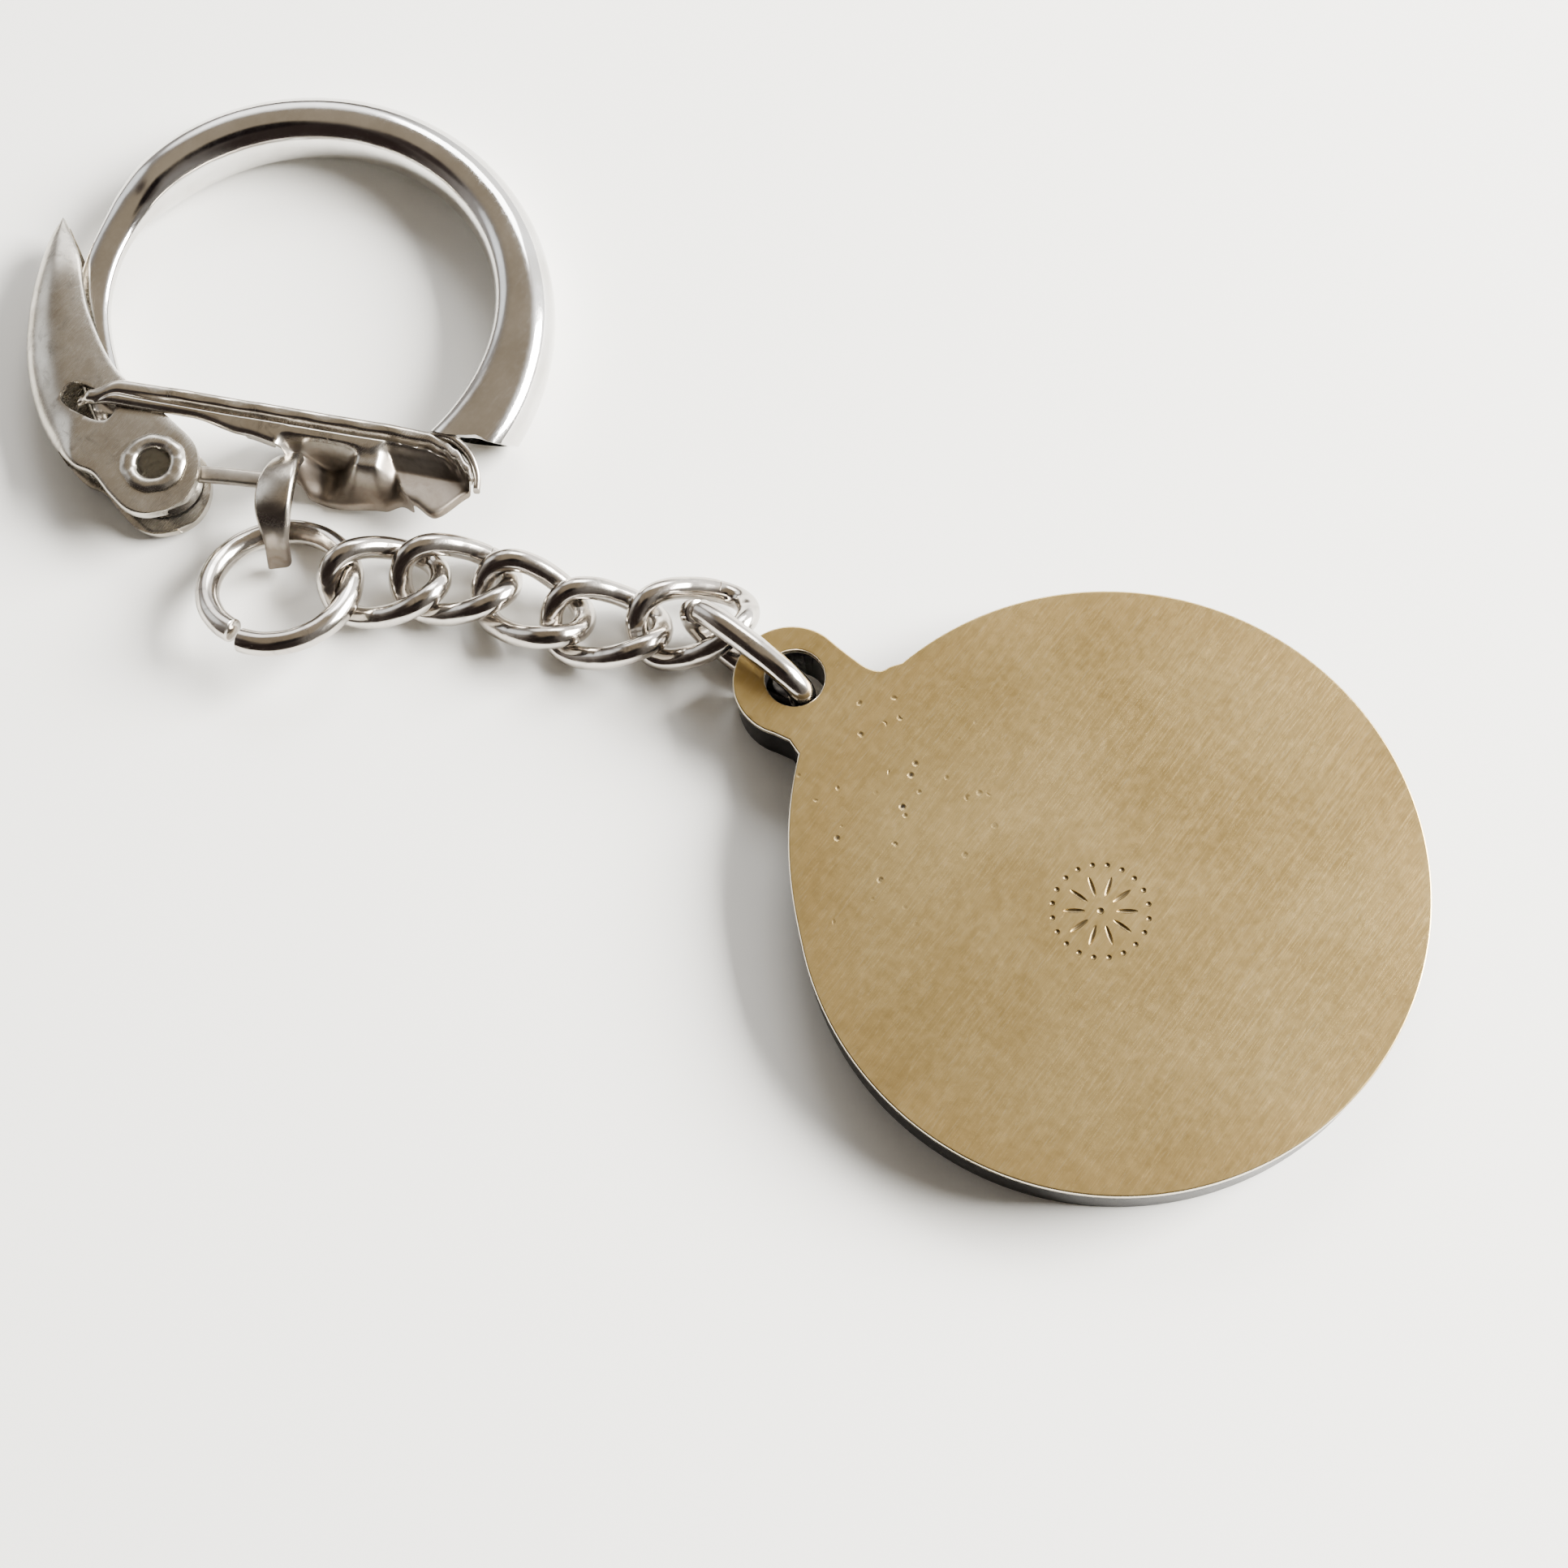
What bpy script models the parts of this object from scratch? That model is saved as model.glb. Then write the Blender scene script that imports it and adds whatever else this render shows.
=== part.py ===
"""Key chain: a round metal-backed fob, a curb chain, and a key ring with a horn-lever gate.

Lengths are in millimetres and are scaled to metres where a mesh is made. The object lies on
its front face, on the plane z = 0. X runs from the key ring to the fob.
"""

import math

import bmesh
import bpy
from mathutils import Matrix, Vector

MM = 0.001
# Where the fob's centre stands, so that the whole object is centred on the origin.
FOB_CENTRE = (30.925, 0.536)

# Fob
FOB_RADIUS = 18.0
BODY_THICKNESS = 3.2
PLATE_BOTTOM, PLATE_TOP = 3.24, 3.8
LUG_CENTRE, LUG_RADIUS = (-22.2, -1.0), 3.45
LUG_HOLE, LUG_HOLE_RADIUS = (-22.1, -0.75), 1.85
FAIRING_START, FAIRING_SPAN, FAIRING_HEIGHT = 191.5, 36.0, 1.55
FRONT_RECESS_RADIUS, FRONT_RECESS_DEPTH = 16.3, 0.95
FRONT_DISC_RADIUS, FRONT_DISC_Z = 16.1, (0.3, 0.9)
CHANNEL_WIDTH, CHANNEL_DEPTH = 3.2, 2.0

# Wire pieces
LINK_WIRE, LINK_LENGTH, LINK_WIDTH, LINK_TWIST = 1.2, 6.86, 4.16, 1.0
CONNECTOR_WIRE, CONNECTOR_LENGTH, CONNECTOR_HEIGHT = 1.3, 8.6, 4.2
JUMP_WIRE, JUMP_DIAMETER = 1.5, 8.8
# Each piece's centre (x, y, z) and its yaw, pitch and roll in degrees.
CONNECTOR_POSE = (-25.47, -0.6, 2.82, 5.9, 0.0, 0.0)
LINK_POSES = (
    (-46.47, -10.38, 1.86, 34.5, -4.1, 8.3),
    (-42.89, -8.08, 1.65, 31.9, -1.4, 2.7),
    (-38.46, -5.61, 1.69, 17.6, -0.6, 0.4),
    (-34.12, -3.92, 1.83, 27.4, 0.2, -0.8),
    (-30.04, -1.77, 1.99, 34.0, 3.0, 1.4),
)
JUMP_POSE = (-51.6, -14.05, 2.04, 35.2, -0.1, -16.9)

# Key ring
BOW_CENTRE = (-62.5, -0.05)
BOW_MID_Z = 2.15
# Angle round the bow, radius of its middle, its width and its height.
BOW_STATIONS = (
    (2.0, 14.45, 4.4, 3.9),
    (12.0, 14.5, 4.25, 4.0),
    (30.0, 14.6, 3.9, 4.05),
    (60.0, 14.65, 3.6, 4.1),
    (110.0, 14.65, 3.5, 4.1),
    (150.0, 14.6, 3.5, 4.05),
    (168.0, 14.45, 3.2, 3.8),
    (178.0, 14.4, 2.8, 2.9),
    (188.0, 14.15, 2.5, 2.0),
    (208.0, 13.4, 2.5, 1.7),
    (228.0, 12.7, 2.6, 1.5),
    (252.0, 12.45, 2.8, 1.3),
    (264.0, 12.6, 2.8, 1.3),
)
BOW_END_SKEW = 8.0
RIVET_CENTRE = (-62.45, -12.85)
RIVET_BORE, RIVET_BARREL, RIVET_FLANGE = 1.2, 1.55, 2.25
RIVET_HEIGHT = 4.3
EYE_RADIUS, EYE_HOLE = 2.6, 1.75
BOW_EYE_Z = (1.15, 2.45)
ARM_EYE_Z = (2.6, 3.2)

# Horn lever: two cheeks joined by a spine along the outside
HORN_Z = (0.4, 3.95)
HORN_SHEET = 0.62
SPINE_POINTS = (
    (-79.85, -3.1), (-79.35, -4.9), (-78.35, -7.0), (-76.9, -9.3), (-75.2, -11.4),
    (-73.2, -13.25), (-70.8, -14.8), (-68.6, -15.6),
)
EAR_POINTS = (
    (-67.2, -15.6), (-65.6, -15.7), (-63.6, -16.1), (-61.9, -16.2), (-60.7, -15.9),
    (-59.7, -14.9), (-59.3, -13.4), (-59.5, -11.9), (-60.5, -10.7), (-62.5, -9.9),
)
CHEEK_POINTS = (
    (-67.9, -9.5), (-70.05, -8.87), (-72.97, -7.44), (-74.48, -6.33), (-76.0, -4.94),
    (-77.45, -3.9), (-78.7, -3.2),
)
SLOT_CENTRE, SLOT_SIZE, SLOT_ANGLE = (-69.2, -12.0), (2.6, 1.7), 15.0

# Gate bar
BEAM_START, BEAM_END = (-67.6, -9.75), (-48.9, -0.62)
BEAM_THICKNESS, BEAM_Z = 0.8, (0.7, 4.15)
SOCKET_POINTS = (
    (-51.9, -2.6), (-51.5, -3.3), (-49.74, -4.5), (-46.84, -5.1), (-46.2, -4.4),
    (-45.5, -2.0), (-45.9, -1.0), (-47.2, -0.7), (-49.2, -0.9),
)
BOSS_POINTS = (
    (-57.6, -6.4), (-57.1, -8.6), (-55.1, -9.1), (-52.7, -8.4), (-51.0, -6.9),
    (-49.9, -4.2), (-51.5, -3.3),
)
HOOK_WIDTH, HOOK_THICKNESS = 1.9, 0.75

WHEEL = {
    "nickel": ((0.62, 0.60, 0.57), 0.22, 1.0),
    "brass": ((0.60, 0.50, 0.31), 0.34, 1.0),
    "black": ((0.012, 0.012, 0.014), 0.25, 0.0),
    "inlay": ((0.25, 0.27, 0.30), 0.35, 0.0),
    "steel": ((0.42, 0.42, 0.43), 0.30, 1.0),
}


def clear_scene():
    for obj in list(bpy.data.objects):
        bpy.data.objects.remove(obj, do_unlink=True)


def material(name):
    colour, roughness, metallic = WHEEL[name]
    found = bpy.data.materials.get(name)
    if found:
        return found
    made = bpy.data.materials.new(name)
    made.use_nodes = True
    shader = made.node_tree.nodes["Principled BSDF"]
    shader.inputs["Base Color"].default_value = (*colour, 1.0)
    shader.inputs["Roughness"].default_value = roughness
    shader.inputs["Metallic"].default_value = metallic
    return made


def shifted(x, y, z=0.0):
    """A point given from the fob's centre, in the object's own frame."""
    return Vector((x + FOB_CENTRE[0], y + FOB_CENTRE[1], z))


def make(name, bm, look, pivot=(0.0, 0.0, 0.0), smooth=40.0):
    """One object from a bmesh in millimetres, with its origin at the pivot."""
    pivot = Vector(pivot)
    bmesh.ops.recalc_face_normals(bm, faces=bm.faces)
    bm.transform(Matrix.Scale(MM, 4) @ Matrix.Translation(-pivot))
    mesh = bpy.data.meshes.new(name)
    bm.to_mesh(mesh)
    bm.free()
    mesh.shade_smooth()
    mesh.set_sharp_from_angle(angle=math.radians(smooth))
    mesh.materials.append(material(look))
    obj = bpy.data.objects.new(name, mesh)
    obj.location = pivot * MM
    bpy.context.collection.objects.link(obj)
    return obj


def boolean(obj, bm, operation, name):
    """Cuts or joins a helper solid, which stays out of renders."""
    helper = make(name, bm, "steel")
    helper.hide_render = True
    helper.display_type = "WIRE"
    step = obj.modifiers.new(name, "BOOLEAN")
    step.operation = operation
    step.object = helper
    step.solver = "EXACT"
    return helper


def smooth_points(points, per_span, closed=False):
    """A Catmull-Rom curve through the points, each a tuple of any length."""
    points = [Vector(p) for p in points]
    count = len(points)
    spans = count if closed else count - 1
    found = []
    for i in range(spans):
        if closed:
            a, b, c, d = (points[(i + k) % count] for k in (-1, 0, 1, 2))
        else:
            b, c = points[i], points[i + 1]
            a = points[i - 1] if i else 2 * b - c
            d = points[i + 2] if i + 2 < count else 2 * c - b
        for k in range(per_span):
            t = k / per_span
            found.append(
                0.5 * (2 * b + (c - a) * t + (2 * a - 5 * b + 4 * c - d) * t * t
                       + (3 * b - a - 3 * c + d) * t * t * t)
            )
    if not closed:
        found.append(points[-1])
    return found


def prism(outline, low, high):
    """A solid with this outline, from one height to another."""
    bm = bmesh.new()
    bottom = [bm.verts.new((p[0], p[1], low)) for p in outline]
    face = bm.faces.new(bottom)
    made = bmesh.ops.extrude_face_region(bm, geom=[face])
    top = [v for v in made["geom"] if isinstance(v, bmesh.types.BMVert)]
    bmesh.ops.translate(bm, verts=top, vec=(0.0, 0.0, high - low))
    return bm


def cylinder(centre, radius, low, high, sides=40):
    bm = bmesh.new()
    bmesh.ops.create_cone(
        bm, cap_ends=True, segments=sides, radius1=radius, radius2=radius, depth=high - low,
        matrix=Matrix.Translation(shifted(*centre, (low + high) / 2)),
    )
    return bm


def skin(rings, closed):
    """A solid through rings of points. An open run is capped at both ends."""
    bm = bmesh.new()
    rows = [[bm.verts.new(p) for p in ring] for ring in rings]
    sides = len(rows[0])
    pairs = list(zip(rows, rows[1:]))
    if closed:
        pairs.append((rows[-1], rows[0]))
    for first, second in pairs:
        for k in range(sides):
            n = (k + 1) % sides
            bm.faces.new((first[k], first[n], second[n], second[k]))
    if not closed:
        bm.faces.new(rows[0][::-1])
        bm.faces.new(rows[-1])
    return bm


def wire(path, radius, closed=True, sides=10):
    """A round wire along a path, its section carried along without twist."""
    count = len(path)
    tangents = []
    for i in range(count):
        before = path[(i - 1) % count] if closed or i else path[i]
        after = path[(i + 1) % count] if closed or i + 1 < count else path[i]
        tangents.append((after - before).normalized())
    normal = tangents[0].orthogonal().normalized()
    normals = [normal]
    for a, b in zip(tangents, tangents[1:]):
        normal = a.rotation_difference(b) @ normal
        normals.append(normal)
    slip = 0.0
    if closed:
        last = tangents[-1].rotation_difference(tangents[0]) @ normal
        cross = last.cross(normals[0]).dot(tangents[0])
        slip = math.atan2(cross, last.dot(normals[0]))
    rings = []
    for i, (point, tangent, normal) in enumerate(zip(path, tangents, normals)):
        side = tangent.cross(normal)
        ring = []
        for k in range(sides):
            turn = 2 * math.pi * k / sides + slip * i / count
            ring.append(point + radius * (math.cos(turn) * normal + math.sin(turn) * side))
        rings.append(ring)
    return skin(rings, closed)


def placed(points, pose):
    """Points from a piece's own frame into the object's, by its centre, yaw, pitch and roll."""
    x, y, z, yaw, pitch, roll = pose
    turn = (
        Matrix.Rotation(math.radians(yaw), 3, "Z")
        @ Matrix.Rotation(math.radians(-pitch), 3, "Y")
        @ Matrix.Rotation(math.radians(roll), 3, "X")
    )
    centre = shifted(x, y, z)
    return [centre + turn @ Vector(p) for p in points]


def superellipse(half_x, half_y, power, turn):
    c, s = math.cos(turn), math.sin(turn)
    return (
        math.copysign(half_x * abs(c) ** (2 / power), c),
        math.copysign(half_y * abs(s) ** (2 / power), s),
    )


def turns(count, start=0.0, end=360.0, closed=True):
    last = count if closed else count - 1
    return [math.radians(start + (end - start) * i / last) for i in range(count)]


def fob_outline():
    """The disc, its fairing into the lug on one side, and the lug."""
    points = []
    for i in range(-38, 44):
        angle = math.radians(4.0 * i)
        points.append((FOB_RADIUS * math.cos(angle), FOB_RADIUS * math.sin(angle)))
    points += [(-18.15, 2.75), (-18.9, 2.45), (-19.9, 2.2), (-21.0, 2.3)]
    for degrees in range(90, 284, 8):
        angle = math.radians(degrees)
        points.append((LUG_CENTRE[0] + LUG_RADIUS * math.cos(angle),
                       LUG_CENTRE[1] + LUG_RADIUS * math.sin(angle)))
    points.append((-20.3, -4.15))
    for k in range(9):
        share = k / 9
        angle = math.radians(FAIRING_START + FAIRING_SPAN * share * 0.93)
        radius = FOB_RADIUS + FAIRING_HEIGHT * (1 - share) ** 1.5
        points.append((radius * math.cos(angle), radius * math.sin(angle)))
    return [shifted(*p).xy for p in points]


def fob_pieces():
    outline = fob_outline()
    centre = shifted(0.0, 0.0)
    body = make("fob_body", prism(outline, 0.0, BODY_THICKNESS), "black", centre)
    plate = make("fob_back_plate", prism(outline, PLATE_BOTTOM, PLATE_TOP), "brass", centre)
    for obj in (body, plate):
        boolean(obj, cylinder(LUG_HOLE, LUG_HOLE_RADIUS, -1, 5, 32), "DIFFERENCE", f"{obj.name}_hole")
    recess = cylinder((0.0, 0.0), FRONT_RECESS_RADIUS, -1, FRONT_RECESS_DEPTH, 72)
    boolean(body, recess, "DIFFERENCE", "front_recess_cut")
    boolean(body, channel_cut(), "DIFFERENCE", "ring_channel_cut")
    for obj in (body, plate):
        rounding = obj.modifiers.new("edge", "BEVEL")
        rounding.width = 0.1 * MM
        rounding.segments = 1
        rounding.limit_method = "ANGLE"
        rounding.angle_limit = math.radians(50)
    disc = cylinder((0.0, 0.0), FRONT_DISC_RADIUS, *FRONT_DISC_Z, 72)
    make("fob_front_disc", disc, "inlay", centre)


def channel_cut():
    """The groove under the lug in which the connector ring's lower run lies."""
    half = CHANNEL_WIDTH / 2
    x, y = LUG_HOLE
    wide = 1.25
    corners = ((x, y - half), (x, y + half), (x - 5, y + half * wide), (x - 5, y - half * wide))
    return prism([shifted(*p).xy for p in corners], -1, CHANNEL_DEPTH)


def chain_pieces():
    ring = [
        (px, 0.0, pz)
        for px, pz in (
            superellipse(CONNECTOR_LENGTH / 2, CONNECTOR_HEIGHT / 2, 2.4, t)
            for t in turns(44, 148.0, 504.0, closed=False)
        )
    ]
    make("connector_ring", wire(placed(ring, CONNECTOR_POSE), CONNECTOR_WIRE / 2, closed=False),
         "nickel", shifted(*LUG_HOLE, CONNECTOR_POSE[2]))
    loop = []
    for t in turns(36):
        px, py = superellipse(LINK_LENGTH / 2, LINK_WIDTH / 2, 2.4, t)
        loop.append((px, py, -LINK_TWIST * math.sin(2 * t)))
    for number, pose in enumerate(LINK_POSES, 1):
        make(f"chain_link_{number}", wire(placed(loop, pose), LINK_WIRE / 2), "nickel",
             shifted(*pose[:3]))
    radius = JUMP_DIAMETER / 2
    split = [(radius * math.cos(t), radius * math.sin(t), 0.0)
             for t in turns(48, 198.0, 552.0, closed=False)]
    make("jump_ring", wire(placed(split, JUMP_POSE), JUMP_WIRE / 2, closed=False, sides=12),
         "nickel", shifted(*JUMP_POSE[:3]))


def bow_ring(angle, radius, width, height, skew, sides=16):
    """One section of the bow. The skew swings its outer corner ahead of its inner one."""
    ring = []
    for t in turns(sides):
        px, pz = superellipse(width / 2, height / 2, 2.5, t)
        turn = math.radians(angle + skew * px / 2.0)
        ring.append(shifted(BOW_CENTRE[0] + (radius + px) * math.cos(turn),
                            BOW_CENTRE[1] + (radius + px) * math.sin(turn), BOW_MID_Z - 0 + pz))
    return ring


def bow_sections(trim=0.0, first=0, last=None, start_shift=0.0):
    stations = [list(s) for s in BOW_STATIONS[first:last]]
    stations[0][0] += start_shift
    rings = []
    for angle, radius, width, height in smooth_points(stations_4d(stations), 4):
        skew = BOW_END_SKEW / 2 * max(0.0, 1 - angle / 24.0)
        ring = bow_ring(angle, radius, width - trim, height - trim, skew)
        sink = max(0.0, min(1.0, (angle - 205.0) / 30.0))
        rings.append([p + Vector((0, 0, -0.35 * sink)) for p in ring])
    return rings


def stations_4d(stations):
    return [tuple(s) for s in stations]


def bow_piece():
    pivot = shifted(*RIVET_CENTRE, BOW_MID_Z)
    bow = make("bow", skin(bow_sections(), False), "nickel", pivot)
    boolean(bow, cylinder(RIVET_CENTRE, EYE_RADIUS, *BOW_EYE_Z), "UNION", "bow_eye")
    boolean(bow, cylinder(RIVET_CENTRE, EYE_HOLE, 0, 4), "DIFFERENCE", "bow_eye_hole")
    hollow = skin(bow_sections(1.5, 0, 2, -6.0), False)
    boolean(bow, hollow, "DIFFERENCE", "bow_end_hollow")
    return bow


def inward(points, distance):
    """A run of points moved to the left of its direction of travel."""
    moved = []
    for i, point in enumerate(points):
        before = points[max(0, i - 1)]
        after = points[min(len(points) - 1, i + 1)]
        along = (after - before).normalized()
        moved.append(point + distance * Vector((-along.y, along.x)))
    return moved


def horn_piece():
    spine = smooth_points(SPINE_POINTS, 3)
    ear = smooth_points(EAR_POINTS, 2)
    cheek = smooth_points(CHEEK_POINTS, 2)
    outline = [shifted(*p).xy for p in spine + ear + cheek]
    horn = make("horn_lever", prism(outline, *HORN_Z), "nickel", shifted(*RIVET_CENTRE, HORN_Z[0]))
    inner = inward(spine, HORN_SHEET)
    inner[-1] = Vector((-68.2, -14.9))
    room = inner + [Vector(p) for p in ((-67.6, -17.5), (-56.0, -17.5), (-56.0, -2.0), (-82.0, 2.0))]
    low, high = HORN_Z[0] + HORN_SHEET, HORN_Z[1] - HORN_SHEET
    boolean(horn, prism([shifted(*p).xy for p in room], low, high), "DIFFERENCE", "horn_room")
    boolean(horn, cylinder(RIVET_CENTRE, EYE_HOLE - 0.1, -1, 6), "DIFFERENCE", "horn_rivet_hole")
    boolean(horn, slot_cut(), "DIFFERENCE", "horn_slot")


def slot_cut():
    turn = math.radians(SLOT_ANGLE)
    outline = []
    for t in turns(16):
        px, py = superellipse(SLOT_SIZE[0] / 2, SLOT_SIZE[1] / 2, 3.0, t)
        outline.append(shifted(SLOT_CENTRE[0] + px * math.cos(turn) - py * math.sin(turn),
                               SLOT_CENTRE[1] + px * math.sin(turn) + py * math.cos(turn)).xy)
    return prism(outline, HORN_Z[1] - 1.2, HORN_Z[1] + 1.0)


def strip(path, width, thickness, across):
    """A flat strip along a path. Across is its width direction."""
    rings = []
    for i, point in enumerate(path):
        before = path[max(0, i - 1)]
        after = path[min(len(path) - 1, i + 1)]
        up = across.cross((after - before).normalized()).normalized()
        w, h = across * width / 2, up * thickness / 2
        rings.append([point - w - h, point + w - h, point + w + h, point - w + h])
    return skin(rings, False)


def gate_bar_piece():
    start, end = Vector(BEAM_START), Vector(BEAM_END)
    along = (end - start).normalized()
    side = Vector((-along.y, along.x)) * BEAM_THICKNESS
    corners = (start - side, end - side, end, start)
    outline = [shifted(*p).xy for p in corners]
    pivot = shifted(*RIVET_CENTRE, BEAM_Z[0])
    bar = make("gate_bar", prism(outline, *BEAM_Z), "nickel", pivot)
    boolean(bar, beam_notch(start, along), "DIFFERENCE", "beam_notch")
    boolean(bar, tab(start, along), "UNION", "beam_tab")
    socket = prism([shifted(*p).xy for p in smooth_points(SOCKET_POINTS, 2, closed=True)], 0.5, 3.4)
    boolean(bar, socket, "UNION", "socket_shell")
    boss = prism([shifted(*p).xy for p in BOSS_POINTS], 0.9, 3.1)
    boolean(bar, boss, "UNION", "boss")
    boolean(bar, socket_room(), "DIFFERENCE", "socket_room")
    boolean(bar, lower_arm(), "UNION", "lower_arm")
    boolean(bar, cylinder(RIVET_CENTRE, EYE_RADIUS, *ARM_EYE_Z), "UNION", "arm_eye")
    boolean(bar, cylinder(RIVET_CENTRE, EYE_HOLE, 0, 5), "DIFFERENCE", "arm_eye_hole")
    boolean(bar, hook(), "UNION", "hook")


def beam_notch(start, along):
    """Clears the beam's lower edge where the bow and the cheeks pass under it."""
    side = Vector((-along.y, along.x))
    reach = 8.6
    corners = (start - 2 * along - 3 * side, start + reach * along - 3 * side,
               start + reach * along + 3 * side, start - 2 * along + 3 * side)
    return prism([shifted(*p).xy for p in corners], -1.0, HORN_Z[1] - 0.75 + 0.86)


def tab(start, along):
    """The tongue that carries the beam over the cheek and down into its slot."""
    bend = start + 1.5 * along
    path = [
        shifted(-69.15, -12.0, 3.2), shifted(-69.1, -11.6, 4.15), shifted(-68.6, -10.9, 4.5),
        shifted(start.x, start.y - 0.4, 4.5), shifted(bend.x, bend.y - 0.3, 4.4),
        shifted(*(start + 9.5 * along - Vector((-0.2, 0.4))), 4.35),
    ]
    return strip(path, 0.9, 0.5, Vector((-along.y, along.x, 0.0)))


def socket_room():
    """The hollow of the bar's right-hand end, open to the right."""
    points = ((-50.6, -2.9), (-49.4, -3.8), (-46.9, -4.35), (-40.0, -4.0), (-40.0, -1.5),
              (-46.9, -1.5), (-49.4, -1.8))
    return prism([shifted(*p).xy for p in points], 1.1, 2.9)


def lower_arm():
    path = [shifted(-61.5, -12.4, 2.9), shifted(-58.8, -10.6, 2.9), shifted(-55.8, -8.6, 2.6)]
    return strip(path, 1.7, 0.58, Vector((0.55, -0.83, 0.0)).normalized())


def hook():
    """The strip that bends over the jump ring's wire."""
    line = Vector((0.56, -0.83, 0.0)).normalized()
    start = shifted(-56.0, -8.1)
    profile = ((0.0, 2.6), (1.0, 3.3), (2.1, 3.75), (3.2, 3.7), (4.2, 3.0), (4.8, 2.0), (5.1, 0.8))
    path = [start + line * s + Vector((0, 0, z)) for s, z in smooth_points(profile, 2)]
    return strip(path, HOOK_WIDTH, HOOK_THICKNESS, Vector((-line.y, line.x, 0.0)))


def rivet_piece():
    """A hollow rivet, turned from its half section."""
    half = RIVET_HEIGHT / 2
    lip = 0.34
    outer = (
        (RIVET_BORE, half - 0.12), (RIVET_BORE + 0.15, half), (RIVET_FLANGE - 0.2, half),
        (RIVET_FLANGE, half - 0.14), (RIVET_FLANGE, half - lip), (RIVET_BARREL, half - lip),
    )
    section = list(outer) + [(r, -z) for r, z in reversed(outer)]
    centre = shifted(*RIVET_CENTRE, half + 0.02)
    rings = []
    for t in turns(36):
        rings.append([centre + Vector((r * math.cos(t), r * math.sin(t), z)) for r, z in section])
    make("pivot_rivet", skin(rings, True), "steel", centre)


def spring_piece():
    """A leaf spring lying along the inside of the horn's spine."""
    spine = inward(smooth_points(SPINE_POINTS, 3), HORN_SHEET + 0.14)[9:19]
    outer = [shifted(*p) for p in spine]
    inner = [shifted(*p) for p in inward(spine, 0.3)]
    rings = []
    for a, b in zip(outer, inner):
        low, high = Vector((0, 0, 1.2)), Vector((0, 0, 2.9))
        rings.append([a + low, b + low, b + high, a + high])
    make("return_spring", skin(rings, False), "steel", outer[0])


def main():
    clear_scene()
    fob_pieces()
    chain_pieces()
    bow_piece()
    horn_piece()
    gate_bar_piece()
    rivet_piece()
    spring_piece()


main()
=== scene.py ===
"""Looks of the key chain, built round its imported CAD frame. Lengths are millimetres until a mesh is made."""

import math
import random

import bmesh
import bpy
import numpy as np
from mathutils import Matrix, Vector

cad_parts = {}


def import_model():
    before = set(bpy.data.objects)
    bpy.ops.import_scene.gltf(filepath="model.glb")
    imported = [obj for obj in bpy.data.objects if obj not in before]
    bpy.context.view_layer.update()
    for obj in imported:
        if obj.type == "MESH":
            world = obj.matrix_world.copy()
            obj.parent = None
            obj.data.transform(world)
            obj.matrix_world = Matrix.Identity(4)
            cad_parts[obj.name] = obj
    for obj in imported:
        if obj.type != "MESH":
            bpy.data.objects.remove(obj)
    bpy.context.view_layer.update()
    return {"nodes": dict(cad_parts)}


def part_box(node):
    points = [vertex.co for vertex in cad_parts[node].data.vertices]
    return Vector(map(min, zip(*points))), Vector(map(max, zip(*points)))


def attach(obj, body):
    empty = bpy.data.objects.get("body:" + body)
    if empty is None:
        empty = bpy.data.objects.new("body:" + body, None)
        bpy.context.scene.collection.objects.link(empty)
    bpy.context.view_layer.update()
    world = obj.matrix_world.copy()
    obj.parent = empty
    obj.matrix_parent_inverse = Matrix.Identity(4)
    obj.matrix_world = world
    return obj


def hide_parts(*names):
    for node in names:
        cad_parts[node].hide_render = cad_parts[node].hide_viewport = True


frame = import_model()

MM = 0.001
RND = random.Random(7)
# The room, as patches of colour laid over each other: direction, core and fade angles, colour.
ROOM = (
    ((-0.9, -0.1, 0.15), 20, 50, (0.45, 0.42, 0.40)),
    ((0.95, 0.2, 0.25), 20, 50, (0.26, 0.24, 0.22)),
    ((0.25, 0.95, 0.25), 25, 58, (2.4, 2.38, 2.35)),
    ((-0.75, 0.55, 0.55), 7, 22, (3.6, 3.6, 3.6)),
    ((-0.88, -0.15, 0.42), 7, 20, (1.7, 1.75, 1.8)),
    ((-0.15, 0.15, 0.97), 20, 46, (0.42, 0.345, 0.25)),
    ((0.25, -0.85, 0.40), 30, 52, (0.035, 0.024, 0.021)),
    ((0.25, -0.30, 0.92), 8, 20, (0.010, 0.006, 0.006)),
    ((-0.45, -0.50, 0.74), 5, 17, (0.05, 0.036, 0.032)),
)
ROOM_BASE = (0.15, 0.127, 0.112)
ROOM_STRENGTH = 1.0


def box_centre(node):
    low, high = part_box(node)
    return (Vector(low) + Vector(high)) / 2


FOB = box_centre("fob_front_disc") / MM
RIVET = box_centre("pivot_rivet") / MM


def at(x, y, z=0.0):
    """A point given from the fob's centre on the table, in the object's frame, in millimetres."""
    return Vector((x + FOB.x, y + FOB.y, z))


# ---------------------------------------------------------------- camera, floor and light

def camera():
    data = bpy.data.cameras.new("camera")
    data.lens = 59.63
    data.sensor_width = 36.0
    data.clip_start = 0.005
    obj = bpy.data.objects.new("camera", data)
    bpy.context.collection.objects.link(obj)
    right = Vector((0.7933, 0.6065, -0.0522)).normalized()
    back = Vector((0.2395, -0.2320, 0.9428)).normalized()
    up = back.cross(right).normalized()
    right = up.cross(back)
    turn = Matrix((right, up, back)).transposed()
    obj.matrix_world = Matrix.Translation(at(17.48, -41.33, 145.78) * MM) @ turn.to_4x4()
    bpy.context.scene.camera = obj


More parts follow.
